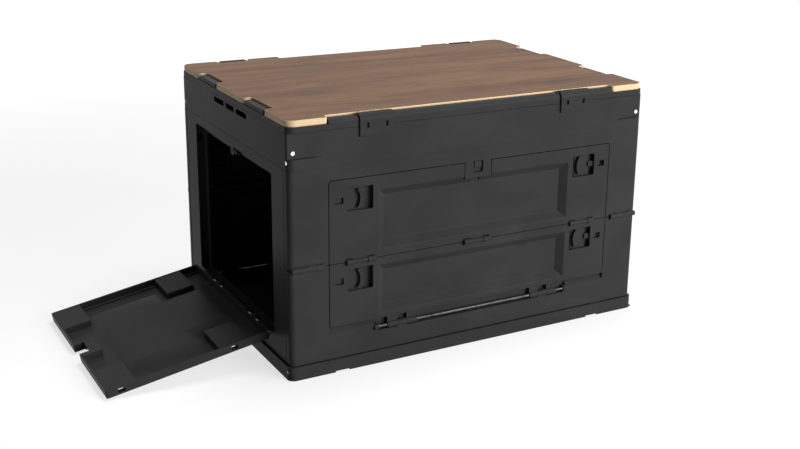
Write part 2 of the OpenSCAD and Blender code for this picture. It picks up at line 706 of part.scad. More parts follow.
// Latch slide at its innermost place: a plate with a curved ridge for the finger, and the bolt
module latch_slide(edge, y) {
    ridge = edge - pocket_edge - ridge_home;
    z0 = -latch_floor + slack;
    top = -leaf_skin - 0.5 - slack;
    plate_z = -6.2;
    difference() {
        union() {
            slab(ridge - slide_back, ridge + slide_len - slide_back, y - pocket_h / 2 - latch_lip + slack,
                y + pocket_h / 2 + latch_lip - slack, z0, plate_z, 1.5);
            for (s = [-1, 1]) slab(ridge - slide_back + 1, ridge + slide_len - slide_back - 1,
                s > 0 ? y + pocket_h / 2 - 0.2 : y - pocket_h / 2 - latch_lip + slack,
                s > 0 ? y + pocket_h / 2 + latch_lip - slack : y - pocket_h / 2 + 0.2, z0, top);
            // Curved ridge
            intersection() {
                translate([ridge + 22, y, z0]) difference() {
                    cylinder(h = -0.7 - z0, r = 24.5, $fn = 64);
                    translate([0, 0, -1]) cylinder(h = 20, r = 21.5, $fn = 64);
                }
                slab(ridge - slide_back, ridge + 6, y - pocket_h / 2 + 3.5, y + pocket_h / 2 - 3.5, z0, 0);
            }
            slab(ridge + slide_len - slide_back - 2, edge - 9.6, y - bolt_h / 2 + 0.1, y + bolt_h / 2 - 0.1, z0, top);
        }
        // Step that shows in the window
        slab(edge - 14, edge - 11, y - bolt_h, y + bolt_h, plate_z, 0);
    }
}

module front_door_lower() color(black) on_front() {
    y1 = fold_z - seam / 2;
    difference() {
        union() {
            leaf_body(-leaf_x, leaf_x, leaf_z0, y1, 0, lower_pan, pan_bevel);
            both_sides() latch_housing(leaf_x, lower_latch_y);
            leaf_ribs(leaf_z0, y1);
            both_sides() for (x = [drop_c - sill_knuckle_w / 2 - slack - leaf_knuckle_w, drop_c + sill_knuckle_w / 2 + slack])
                leaf_knuckle(x);
            for (x = leaf_pin_x) leaf_hinge_lower(x);
        }
        bevel_block(lower_pan, 0, pan_depth, pan_bevel);
        both_sides() latch_cavity(leaf_x, lower_latch_y);
        bar_x(-drop_rod_x, drop_rod_x, drop_z, drop_out, drop_rod_r + fit);
        for (x = leaf_pin_x) {
            leaf_pin_bore(x);
            leaf_cut_lower(x);
        }
    }
}

module leaf_knuckle(x) {
    w = leaf_knuckle_w;
    bar_x(x, x + w, drop_z, drop_out, drop_knuckle_r);
    slab(x, x + w, drop_z, leaf_z0 + 3, -4.5, -0.8);
}

module leaf_ribs(y0, y1) {
    both_sides() for (x = [pan_x + 3, pan_x - 90]) slab(x, x + flange_t, y0 + 1, y1 - 1, -6, -leaf_skin + eps);
}

// Three hinges join the leaves: the lower leaf holds the outer knuckles, the upper leaf the middle one
leaf_side_w = (leaf_pin_len - leaf_pin_mid) / 2;

module leaf_hinge_lower(x) {
    for (e = [-leaf_pin_len / 2, leaf_pin_mid / 2]) {
        bar_x(x + e, x + e + leaf_side_w, fold_z, fold_proud, pin_knuckle_r);
        slab(x + e, x + e + leaf_side_w, fold_z - pin_knuckle_r - 1, fold_z, -leaf_skin, fold_proud);
    }
}

module leaf_hinge_upper(x) {
    x0 = x - leaf_pin_mid / 2 + slack;
    x1 = x + leaf_pin_mid / 2 - slack;
    bar_x(x0, x1, fold_z, fold_proud, pin_knuckle_r - 1);
    slab(x0, x1, fold_z, fold_z + pin_knuckle_r, -leaf_skin, fold_proud);
}

module leaf_pin_bore(x) {
    bar_x(x - leaf_pin_len / 2 - 1, x + leaf_pin_len / 2 + 1, fold_z, fold_proud, pin_r + fit);
}

// Room in the lower leaf for the middle knuckle
module leaf_cut_lower(x) {
    clear = pin_knuckle_r - 1 + slack;
    slab(x - leaf_pin_mid / 2, x + leaf_pin_mid / 2, fold_z - clear, fold_z + 1, fold_proud - clear, 9);
}

// Room in the upper leaf for the outer knuckles
module leaf_cut_upper(x) {
    clear = pin_knuckle_r + slack;
    for (e = [-leaf_pin_len / 2 - slack, leaf_pin_mid / 2])
        slab(x + e, x + e + leaf_side_w + slack, fold_z - 1, fold_z + clear + 0.6, -pocket_depth, 9);
}

module front_door_upper() color(black) on_front() {
    y0 = fold_z + seam / 2;
    difference() {
        union() {
            leaf_body(-leaf_x, leaf_x, y0, leaf_z1, 0, upper_pan, pan_bevel);
            both_sides() latch_housing(leaf_x, upper_latch_y);
            leaf_ribs(y0, leaf_z1);
            slab(-lock_tab_w / 2 - 4, lock_tab_w / 2 + 4, open_z1 - lock_tab_h - 5, leaf_z1, -leaf_t, -leaf_skin + eps);
            for (x = leaf_pin_x) leaf_hinge_upper(x);
        }
        bevel_block(upper_pan, 0, pan_depth, pan_bevel);
        both_sides() latch_cavity(leaf_x, upper_latch_y);
        for (x = leaf_pin_x) {
            leaf_pin_bore(x);
            leaf_cut_upper(x);
        }
        slab(-lock_tab_w / 2 - door_gap, lock_tab_w / 2 + door_gap, open_z1 - lock_tab_h - door_gap, leaf_z1 + 1,
            -leaf_t - 1, 1);
        // Keeper for the lock bolt
        slab(-lock_bolt_w / 2 - 0.6, lock_bolt_w / 2 + 0.6, open_z1 - lock_tab_h - 9, open_z1, -8.6, -3.6);
        // Round upper corners
        both_sides() difference() {
            slab(leaf_x - 5, leaf_x + 1, leaf_z1 - 5, leaf_z1 + 1, -leaf_t - 1, 1);
            translate([leaf_x - 5, leaf_z1 - 5, -leaf_t - 2]) cylinder(h = leaf_t + 4, r = 5);
        }
    }
}

module front_lock_bolt() color(black) on_front() {
    y = open_z1 - lock_tab_h / 2 + 4;
    slab(-lock_bolt_w / 2, lock_bolt_w / 2, open_z1 - lock_tab_h + 0.5, y + 1, -8, -4.3);
    difference() {
        slab(-lock_w / 2 + 2, lock_w / 2 - 2, y - 1.6, y + 7.6, -8 + 4, -0.8, 1.5);
        bar_x(-20, 20, y + 3, 1.6, 2.6);
    }
    slab(-lock_bolt_w / 2, lock_bolt_w / 2, y, y + 7.6, -8, -3.9);
}

module front_drop_rod() color(steel) on_front() bar_x(-drop_rod_x + slack, drop_rod_x - slack, drop_z, drop_out, drop_rod_r);
module leaf_pins() color(steel) on_front() for (x = leaf_pin_x)
    bar_x(x - leaf_pin_len / 2 + slack, x + leaf_pin_len / 2 - slack, fold_z, fold_proud, pin_r);

// Slides of the front door; the left ones stand half way out, as found
module front_latch(left, y) color(black) on_front() mirror([left ? 1 : 0, 0, 0])
    translate([left ? half_travel : 0, 0, 0]) latch_slide(leaf_x, y);

// End door in its closed place on the face of the end wall
module end_door() {
    x1 = end_leaf_x;
    difference() {
        union() {
            for (p = end_pans) leaf_body(-x1, x1, end_leaf_z0, end_leaf_z1, end_leaf_r, p, end_bevel);
            both_sides() for (y = [end_upper_latch_y, end_lower_latch_y]) latch_housing(x1, y);
            slab(-end_notch_w / 2 - 10, end_notch_w / 2 + 10, end_leaf_z1 - end_notch_h - 16, end_leaf_z1,
                -leaf_t, -leaf_skin + eps);
            end_barrel(-end_barrel_x, end_barrel_x);
            both_sides() end_barrel(end_side_barrel[0], end_side_barrel[1]);
            both_sides() slab(x1 - 14, x1 - 14 + flange_t, end_leaf_z0 + 1, end_leaf_z1 - 1, -5, -leaf_skin + eps);
        }
        for (p = end_pans) bevel_block(p, 0, pan_depth, end_bevel);
        both_sides() for (y = [end_upper_latch_y, end_lower_latch_y]) latch_cavity(x1, y);
        // Notch round the turn button, and the ledge that its finger covers
        slab(-end_notch_w / 2, end_notch_w / 2, end_leaf_z1 - end_notch_h, end_leaf_z1 + 1, -leaf_t - 1, 1);
        bar_button(button_sweep, -leaf_t + 4, 1);
        bar_x(-end_side_barrel[1] - 1, end_side_barrel[1] + 1, end_hinge_h, 0, end_rod_r + fit);
    }
}

module end_barrel(x0, x1) {
    bar_x(x0, x1, end_hinge_h, 0, barrel_r);
    slab(x0, x1, end_hinge_h, end_leaf_z0 + 2, -barrel_r, 0);
}

// The left door stands open on its stop
module left_open() translate([-wall_x, 0, end_hinge_h]) rotate([0, -end_door_open, 0])
    translate([wall_x, 0, -end_hinge_h]) children();

module left_end_door() color(black) left_open() on_left() end_door();
module left_latch(upper, front) color(black) left_open() on_left() mirror([front ? 0 : 1, 0, 0])
    latch_slide(end_leaf_x, upper ? end_upper_latch_y : end_lower_latch_y);
module right_latch(upper, front) color(black) on_right() mirror([front ? 1 : 0, 0, 0])
    latch_slide(end_leaf_x, upper ? end_upper_latch_y : end_lower_latch_y);

// Lid frame: plate under the board, lip, raised strips in the cut-outs and a skirt inside the collar
module lid_profile_cut() {
    polygon([
        [collar_y - lip_cut_w, lip_z0 - 1], [collar_y + 1, lip_z0 - 1],
        [collar_y + 1, lip_z0 + lip_cut_h], [collar_y - lip_cut_w, lip_z0]
    ]);
}

module strip(x0, x1) {
    translate([x0, 0, 0]) rotate([90, 0, 90]) linear_extrude(x1 - x0) {
        translate([-collar_y + bend_r + eps, shell_h - 1]) square([cut_d - bend_r + 1, strip_z1 - shell_h + 1]);
        intersection() {
            translate([-collar_y + bend_r - 0.2 + eps, shell_h + 0.2]) circle(r = bend_r - 0.4);
            translate([-collar_y, shell_h - 4]) square([bend_r, 14]);
        }
    }
}

module clip_notch(c, w) {
    slab(c - w / 2 - clip_gap, c + w / 2 + clip_gap, -collar_y - 4, clip_notch_y, shell_h - 1, shell_h + 12);
}
module lid_frame() color(black) {
    difference() {
        union() {
            difference() {
                slab(-wall_x, wall_x, -collar_y, collar_y, lip_z0, shell_h, corner_r + 2);
                slab(-wall_x + 3.5, wall_x - 3.5, -collar_y + 14, collar_y - 14, lip_z0 - 1, shell_h - lid_plate_t, corner_r);
            }
            rim(-deck_in_x + 0.8, deck_in_x - 0.8, -deck_in_y + 0.8, deck_in_y - 0.8, lip_z0 - lid_skirt_h, shell_h - 1, 3, 7);
            for (x = between(-deck_in_x, deck_in_x, 90))
                translate([x - 1, -deck_in_y + 2, lip_z0 - 2]) cube([2, 2 * deck_in_y - 4, lip_h - 1]);
            for (y = between(-deck_in_y, deck_in_y, 95))
                translate([-deck_in_x + 2, y - 1, lip_z0 - 2]) cube([2 * deck_in_x - 4, 2, lip_h - 1]);
            strip(-front_cut_w / 2 + 1, front_cut_w / 2 - 1);
            mirror([0, 1, 0]) {
                strip(-rear_cut_w / 2 + 1, rear_cut_w / 2 - 1);
                both_sides() strip(hinge_c - hinge_w / 2 - 4.5, hinge_c + hinge_w / 2 + 4.5);
            }
            both_sides() for (s = [-1, 1]) end_pad(s);
            both_sides() {
                pin_boss(clip_c, clip_w, -clip_pin_y);
                pin_boss(hinge_c, hinge_w, clip_pin_y);
            }
        }
        both_sides() {
            clip_notch(clip_c, clip_w);
            mirror([0, 1, 0]) clip_notch(hinge_c, hinge_w);
        }
        both_sides() {
            bar_x(clip_c - clip_w / 2 - 3, clip_c + clip_w / 2 + 3, -clip_pin_y, clip_pin_z, pin_r + fit);
            bar_x(hinge_c - hinge_w / 2 - 3, hinge_c + hinge_w / 2 + 3, clip_pin_y, clip_pin_z, pin_r + fit);
        }
        // The rear edge below the hinge line is cut back so that the lid can turn
        translate([-wall_x - 1, 0, 0]) rotate([90, 0, 90]) linear_extrude(2 * wall_x + 2) lid_profile_cut();
        for (p = screw_places()) {
            translate([p[0], p[1], shell_h - 10]) cylinder(h = 20, r = screw_r + fit);
            translate([p[0], p[1], lip_z0 - lid_skirt_h]) cylinder(h = lid_skirt_h + lip_h - lid_plate_t, r = screw_head_r + 1);
        }
    }
}

// Boss round the pin at both sides of a clip or hinge
module pin_boss(c, w, y) {
    bar_x(c - w / 2 - 3.5, c + w / 2 + 3.5, y, clip_pin_z, pin_r + 1.7);
}

// Raised pad of the lid inside a notch of the board
module end_pad(s) {
    slab(wall_x - notch_d + 1.5, wall_x - 1, s * end_notch_c - notch_w / 2 + 2, s * end_notch_c + notch_w / 2 - 2,
        shell_h - 1, shell_h + board_t - 3, 3);
}
end_notch_c = 94;

function screw_places() = [for (x = [-210, 0, 210], y = [-140, 140]) [x, y]];

module board_screws() color(steel) for (p = screw_places()) translate([p[0], p[1], 0]) {
    translate([0, 0, shell_h - lid_plate_t - 2]) cylinder(h = 2, r = screw_head_r);
    translate([0, 0, shell_h - lid_plate_t - 1]) cylinder(h = lid_plate_t + 7, r = screw_r);
}

// Notch in the edge of the board: round inside corners and round shoulders at its mouth
module board_notch(c, w, d, r) {
    slab_2d(c - w / 2, c + w / 2, -d, d, r);
    for (s = [-1, 1]) difference() {
        translate([s > 0 ? c + w / 2 - eps : c - w / 2 - r, -r]) square([r + eps, r + 1]);
        translate([c + s * (w / 2 + r), -r]) circle(r = r);
    }
}

module table_board() color(walnut) {
    by = wall_y - 1;
    difference() {
        translate([0, 0, shell_h]) linear_extrude(board_t) difference() {
            slab_2d(-wall_x, wall_x, -by, by, board_r);
            translate([0, by]) board_notch(0, rear_cut_w, cut_d, 4);
            for (s = [-1, 1]) translate([0, by]) board_notch(s * hinge_c, hinge_w + 12, cut_d, 4);
            mirror([0, 1, 0]) translate([0, by]) board_notch(0, front_cut_w, cut_d, 4);
            for (s = [-1, 1], t = [-1, 1]) rotate([0, 0, s > 0 ? -90 : 90]) translate([0, wall_x])
                board_notch(t * end_notch_c, notch_w, notch_d, 6);
        }
        for (p = screw_places()) translate([p[0], p[1], shell_h - 1]) cylinder(h = 7.3, r = screw_r + fit);
    }
}

// Clip plate: knuckle on its pin, a bend over the edge of the lid and a flat tongue
module clip_plate(w) {
    translate([-w / 2, 0, 0]) rotate([90, 0, 90]) linear_extrude(w) {
        translate([-clip_pin_y, clip_pin_z]) circle(r = clip_knuckle_r);
        intersection() {
            difference() {
                translate([-bend_y, bend_z]) circle(r = bend_r + clip_t, $fn = 64);
                translate([-bend_y, bend_z]) circle(r = bend_r, $fn = 64);
            }
            translate([-bend_y - 20, bend_z]) square([20, 20]);
        }
        translate([-bend_y - bend_r - clip_t, bend_z - clip_drop]) square([clip_t, clip_drop + eps]);
    }
}

module front_clip(c) color(black) translate([c, 0, 0]) difference() {
    clip_plate(clip_w);
    bar_x(-clip_w, clip_w, -clip_pin_y, clip_pin_z, pin_r + fit);
    for (x = [-14.5, 14.5])
        translate([x - 1.8, -collar_y - 10, bend_z - 10.5]) cube([3.6, 15, 7]);
}

// Rear hinge: the same bend, held to the top frame by a pad and two pegs
module rear_hinge(c) color(black) mirror([0, 1, 0]) translate([c, 0, 0]) difference() {
    union() {
        clip_plate(hinge_w);
        translate([-hinge_w / 2, -collar_y - 1, bend_z - clip_drop])
            cube([hinge_w, 1, collar_z1 - 1 - bend_z + clip_drop]);
        for (x = hinge_pegs) translate([x, -collar_y + skin_t + 2, peg_z]) rotate([90, 0, 0])
            cylinder(h = skin_t + 3, r = peg_r);
    }
    bar_x(-hinge_w, hinge_w, -clip_pin_y, clip_pin_z, pin_r + fit);
}

module clip_pin(c, w, y) bar_x(c - w / 2 - 2.5, c + w / 2 + 2.5, y, clip_pin_z, pin_r);

base_tray();
front_wall_lower();
front_wall_upper();
back_wall_lower();
back_wall_upper();
color(black) on_left() end_wall();  // left_end_wall
color(black) on_right() end_wall();  // right_end_wall
top_frame();
long_rod(-rod_y, base_rod_z);  // front_base_rod
long_rod(rod_y, base_rod_z);  // back_base_rod
top_rod(-rod_y);  // front_top_rod
top_rod(rod_y);  // back_top_rod
on_front() fold_pins();  // front_fold_pins
on_back() fold_pins();  // back_fold_pins
swing_rod(-1);  // left_swing_rod
swing_rod(1);  // right_swing_rod
front_door_lower();
front_door_upper();
front_drop_rod();
leaf_pins();
front_latch(true, upper_latch_y);  // latch_upper_left
front_latch(false, upper_latch_y);  // latch_upper_right
front_latch(true, lower_latch_y);  // latch_lower_left
front_latch(false, lower_latch_y);  // latch_lower_right
front_lock_bolt();
left_end_door();
color(steel) on_left() end_door_rod();  // left_door_rod
color(black) on_left() turn_button();  // left_turn_button
left_latch(true, true);  // left_latch_upper_front
left_latch(true, false);  // left_latch_upper_back
left_latch(false, true);  // left_latch_lower_front
left_latch(false, false);  // left_latch_lower_back
color(black) on_right() end_door();  // right_end_door
color(steel) on_right() end_door_rod();  // right_door_rod
color(black) on_right() turn_button();  // right_turn_button
right_latch(true, true);  // right_latch_upper_front
right_latch(true, false);  // right_latch_upper_back
right_latch(false, true);  // right_latch_lower_front
right_latch(false, false);  // right_latch_lower_back
lid_frame();
table_board();
board_screws();
front_clip(-clip_c);  // front_clip_left
front_clip(clip_c);  // front_clip_right
color(steel) both_sides() clip_pin(clip_c, clip_w, -clip_pin_y);  // clip_pins
rear_hinge(-hinge_c);  // rear_hinge_left
rear_hinge(hinge_c);  // rear_hinge_right
color(steel) both_sides() clip_pin(hinge_c, hinge_w, clip_pin_y);  // rear_hinge_pins
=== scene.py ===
"""Looks of a folding camp chuck box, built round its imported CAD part."""
import json
import logging
import math
from dataclasses import dataclass, field
from enum import Enum

import bpy
import numpy as np
from mathutils import Matrix, Vector
from mathutils.kdtree import KDTree

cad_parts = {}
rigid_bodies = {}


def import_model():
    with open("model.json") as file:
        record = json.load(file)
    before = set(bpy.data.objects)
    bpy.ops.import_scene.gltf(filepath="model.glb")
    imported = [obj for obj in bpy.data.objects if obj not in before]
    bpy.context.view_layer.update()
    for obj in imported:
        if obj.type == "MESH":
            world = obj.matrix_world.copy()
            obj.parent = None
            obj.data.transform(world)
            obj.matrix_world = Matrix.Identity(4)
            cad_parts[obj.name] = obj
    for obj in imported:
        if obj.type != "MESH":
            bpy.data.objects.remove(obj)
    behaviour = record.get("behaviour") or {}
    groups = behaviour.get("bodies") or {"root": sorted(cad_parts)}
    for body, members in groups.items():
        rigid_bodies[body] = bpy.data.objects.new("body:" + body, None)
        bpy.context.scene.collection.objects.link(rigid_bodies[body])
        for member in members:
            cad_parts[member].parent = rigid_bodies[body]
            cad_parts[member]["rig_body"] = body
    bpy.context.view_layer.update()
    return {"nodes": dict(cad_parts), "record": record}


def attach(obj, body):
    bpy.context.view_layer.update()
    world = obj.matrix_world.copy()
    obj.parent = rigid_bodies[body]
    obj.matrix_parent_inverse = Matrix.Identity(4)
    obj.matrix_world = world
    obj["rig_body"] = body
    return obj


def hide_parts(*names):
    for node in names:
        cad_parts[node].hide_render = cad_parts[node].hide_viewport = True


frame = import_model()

MM = 0.001
PHOTO_WIDTH = 800
PHOTO_HEIGHT = 449

log = logging.getLogger("chuck_box")


# Shader maths ---------------------------------------------------------------


class Number:
    """A number socket with the arithmetic that adds Math nodes to its tree."""

    def __init__(self, tree: "Tree", socket: bpy.types.NodeSocket) -> None:
        """Wraps a socket of a tree."""
        self.tree = tree
        self.socket = socket

    def math(self, operation: str, *values: object) -> "Number":
        """Adds one Math node.

        Args:
            operation: the node's operation.
            values: its inputs in order, numbers or sockets.

        Returns:
            The node's result.
        """
        node = self.tree.add("ShaderNodeMath", {"operation": operation})
        for place, value in enumerate(values):
            self.tree.feed(node.inputs[place], value)
        return Number(self.tree, node.outputs[0])

    def __add__(self, other: object) -> "Number":
        """Sum."""
        return self.math("ADD", self, other)

    __radd__ = __add__

    def __sub__(self, other: object) -> "Number":
        """Difference."""
        return self.math("SUBTRACT", self, other)

    def __rsub__(self, other: object) -> "Number":
        """Difference with the sides changed."""
        return self.math("SUBTRACT", other, self)

    def __mul__(self, other: object) -> "Number":
        """Product."""
        return self.math("MULTIPLY", self, other)

    __rmul__ = __mul__

    def __truediv__(self, other: object) -> "Number":
        """Quotient."""
        return self.math("DIVIDE", self, other)

    def __gt__(self, other: object) -> "Number":
        """One where this is greater than the other, else zero."""
        return self.math("GREATER_THAN", self, other)

    def step(self, low: float, high: float) -> "Number":
        """Rises smoothly from 0 to 1 between two values.

        Args:
            low: where the step starts.
            high: where it ends.

        Returns:
            The step.
        """
        node = self.tree.add("ShaderNodeMapRange", {"interpolation_type": "SMOOTHSTEP"})
        self.tree.feed(node.inputs["Value"], self)
        node.inputs["From Min"].default_value = low
        node.inputs["From Max"].default_value = high
        return Number(self.tree, node.outputs["Result"])


class Tree:
    """A material's node tree."""

    def __init__(self, name: str) -> None:
        """Starts an empty tree for a new material."""
        self.material = bpy.data.materials.new(name)
        self.material.use_nodes = True
        self.nodes = self.material.node_tree.nodes
        self.links = self.material.node_tree.links
        self.nodes.clear()

    def feed(self, socket: bpy.types.NodeSocket, value: object) -> None:
        """Sets a socket to a number or colour, or links it.

        Args:
            socket: the input.
            value: a number, a tuple, a socket or a Number.
        """
        if isinstance(value, Number):
            value = value.socket
        if isinstance(value, bpy.types.NodeSocket):
            self.links.new(value, socket)
        else:
            socket.default_value = value

    def add(self, kind: str, settings: dict | None = None, **inputs: object) -> bpy.types.Node:
        """Adds a node.

        Args:
            kind: the node's type.
            settings: its own properties, set first.
            inputs: values or links of its inputs, with _ for a space.

        Returns:
            The node.
        """
        node = self.nodes.new(kind)
        for key, value in (settings or {}).items():
            setattr(node, key, value)
        for key, value in inputs.items():
            self.feed(node.inputs[key.replace("_", " ")], value)
        return node

    def place(self, scale: tuple = (1.0, 1.0, 1.0)) -> bpy.types.NodeSocket:
        """Object coordinates, stretched.

        Args:
            scale: how many pattern units a metre holds along each axis.

        Returns:
            The vector socket.
        """
        coords = self.add("ShaderNodeTexCoord").outputs["Object"]
        mapping = self.add("ShaderNodeMapping", Vector=coords, Scale=scale)
        return mapping.outputs["Vector"]

    def axis(self, name: str) -> Number:
        """One Object coordinate in metres.

        Args:
            name: X, Y or Z.

        Returns:
            The coordinate.
        """
        split = self.add("ShaderNodeSeparateXYZ", Vector=self.place())
        return Number(self, split.outputs[name])

    def noise(self, scale: tuple, detail: float = 2.0, rough: float = 0.5, twist: float = 0.0) -> Number:
        """Noise on stretched Object coordinates.

        Args:
            scale: pattern units a metre along each axis.
            detail: octaves.
            rough: strength of the finer octaves.
            twist: distortion.

        Returns:
            The noise, from 0 to 1.
        """
        node = self.add("ShaderNodeTexNoise", Vector=self.place(scale), Scale=1.0, Detail=detail,
                        Roughness=rough, Distortion=twist)
        return Number(self, node.outputs["Fac"])

    def blend(self, mask: Number, low: object, high: object) -> bpy.types.NodeSocket:
        """Mixes two colours.

        Args:
            mask: 0 gives the first, 1 the second.
            low: first colour.
            high: second colour.

        Returns:
            The colour socket.
        """
        node = self.add("ShaderNodeMix", {"data_type": "RGBA", "clamp_factor": True})
        self.feed(node.inputs[0], mask)
        self.feed(node.inputs[6], low)
        self.feed(node.inputs[7], high)
        return node.outputs[2]

    def bump(self, height: Number, distance: float, strength: float = 1.0) -> bpy.types.NodeSocket:
        """Normal of a bumped surface.

        Args:
            height: the relief, from 0 to 1.
            distance: its depth in metres.
            strength: how much of it counts.

        Returns:
            The normal socket.
        """
        node = self.add("ShaderNodeBump", Height=height, Distance=distance, Strength=strength)
        return node.outputs["Normal"]

    def finish(self, **inputs: object) -> bpy.types.Material:
        """Adds the surface shader and the output.

        Args:
            inputs: inputs of the Principled shader.

        Returns:
            The finished material.
        """
        surface = self.add("ShaderNodeBsdfPrincipled", **inputs)
        self.add("ShaderNodeOutputMaterial", Surface=surface.outputs[0])
        return self.material


def srgb(red: int, green: int, blue: int) -> tuple[float, float, float, float]:
    """Linear colour of an sRGB colour given from 0 to 255."""
    def linear(value: float) -> float:
        """One channel."""
        value /= 255.0
        return value / 12.92 if value <= 0.04045 else ((value + 0.055) / 1.055) ** 2.4
    return linear(red), linear(green), linear(blue), 1.0


# Finishes -------------------------------------------------------------------


@dataclass(frozen=True)
class MouldedBlack:
    """Black polypropylene with the fine grain of an etched mould, flow marks and light scuffs."""

    name: str = "black_polypropylene"
    deep: tuple = srgb(52, 52, 53)
    worn: tuple = srgb(69, 69, 70)
    shine: float = 0.03
    rough: float = 0.38
    grain_pitch: float = 1700.0
    grain_depth: float = 0.00004

    def build(self) -> bpy.types.Material:
        """Makes the material."""
        tree = Tree(self.name)
        grain = tree.noise((self.grain_pitch,) * 3, detail=2.0, rough=0.55)
        flow = tree.noise((7.0, 7.0, 11.0), detail=3.0, rough=0.6, twist=0.8)
        dust = tree.noise((38.0, 38.0, 30.0), detail=5.0, rough=0.72)
        scuff = tree.noise((190.0, 190.0, 22.0), detail=4.0, rough=0.7, twist=0.4)
        marks = scuff.step(0.63, 0.78) * dust.step(0.45, 0.7)
        shade = flow.step(0.3, 0.75) * 0.35 + marks * 0.5
        return tree.finish(
            Base_Color=tree.blend(shade, self.deep, self.worn),
            Specular_IOR_Level=self.shine,
            Roughness=flow * 0.14 + dust * 0.1 + grain * 0.05 + (self.rough - 0.13),
            Normal=tree.bump(grain + dust * 0.4, self.grain_depth, 0.55),
        )


@dataclass(frozen=True)
class BrightSteel:
    """Plated steel of the rods, pins and screws, drawn along its length."""

    name: str = "plated_steel"
    bright: tuple = srgb(226, 226, 228)
    dull: tuple = srgb(168, 168, 172)
    rough: float = 0.2

    def build(self) -> bpy.types.Material:
        """Makes the material."""
        tree = Tree(self.name)
        lines = tree.noise((40.0, 2600.0, 2600.0), detail=2.0)
        stain = tree.noise((60.0, 60.0, 60.0), detail=4.0, rough=0.65)
        return tree.finish(
            Base_Color=tree.blend(stain.step(0.35, 0.75), self.bright, self.dull),
            Metallic=1.0,
            Roughness=stain * 0.18 + lines * 0.08 + self.rough,
            Normal=tree.bump(lines, 0.000008, 0.5),
        )


@dataclass(frozen=True)
class WalnutBoard:
    """Plywood with a walnut face above and below, and pale plies along the edge."""

    name: str = "walnut_faced_plywood"
    light: tuple = srgb(128, 92, 60)
    mid: tuple = srgb(98, 66, 42)
    dark: tuple = srgb(46, 28, 19)
    shine: float = 0.22
    ply_light: tuple = srgb(244, 220, 182)
    ply_dark: tuple = srgb(214, 180, 136)
    top: float = 0.3725
    bottom: float = 0.3630
    veneer: float = 0.0003
    ply: float = 0.0016

    def build(self) -> bpy.types.Material:
        """Makes the material."""
        tree = Tree(self.name)
        height = tree.axis("Z")
        wave = tree.noise((1.6, 9.0, 1.0), detail=3.0, rough=0.5, twist=1.2)
        bands = tree.noise((2.2, 34.0, 1.0), detail=5.0, rough=0.62, twist=0.5)
        fibre = tree.noise((16.0, 620.0, 60.0), detail=4.0, rough=0.7)
        pores = tree.noise((26.0, 900.0, 60.0), detail=2.0, rough=0.5)
        tone = tree.blend(bands.step(0.3, 0.72), self.mid, self.light)
        tone = tree.blend(wave.step(0.5, 0.74) * 0.6, tone, self.dark)
        tone = tree.blend(fibre.step(0.42, 0.74) * 0.6, tone, self.dark)
        tone = tree.blend(pores.step(0.6, 0.76) * 0.75, tone, self.dark)
        layer = tree.add("ShaderNodeMath", {"operation": "PINGPONG"})
        tree.feed(layer.inputs[0], height - self.bottom)
        layer.inputs[1].default_value = self.ply
        plies = Number(tree, layer.outputs[0]) / self.ply
        edge_grain = tree.noise((90.0, 90.0, 1500.0), detail=3.0, rough=0.6)
        edge = tree.blend(plies.step(0.35, 0.65) * 0.55 + edge_grain * 0.3, self.ply_light, self.ply_dark)
        faces = (height > self.top - self.veneer) + (self.bottom + self.veneer - height > 0.0)
        relief = fibre * 0.7 - pores.step(0.66, 0.8) * 0.5
        return tree.finish(
            Base_Color=tree.blend(faces, edge, tone),
            Specular_IOR_Level=self.shine,
            Roughness=fibre * 0.16 + wave * 0.1 + 0.36,
            Normal=tree.bump(relief, 0.00006, 0.5),
        )


class Finish(Enum):
    """The finishes of the chuck box by the record's material slots."""

    BLACK = "black_plastic"
    STEEL = "steel"
    BOARD = "table_board"


def build_finishes() -> dict[Finish, bpy.types.Material]:
    """Makes every material once."""
    return {
        Finish.BLACK: MouldedBlack().build(),
        Finish.STEEL: BrightSteel().build(),
        Finish.BOARD: WalnutBoard().build(),
    }


# Modelling helpers ----------------------------------------------------------


def only(piece: bpy.types.Object) -> None:
    """Makes one object the only selected and active one."""
    bpy.ops.object.select_all(action="DESELECT")
    piece.select_set(True)
    bpy.context.view_layer.objects.active = piece


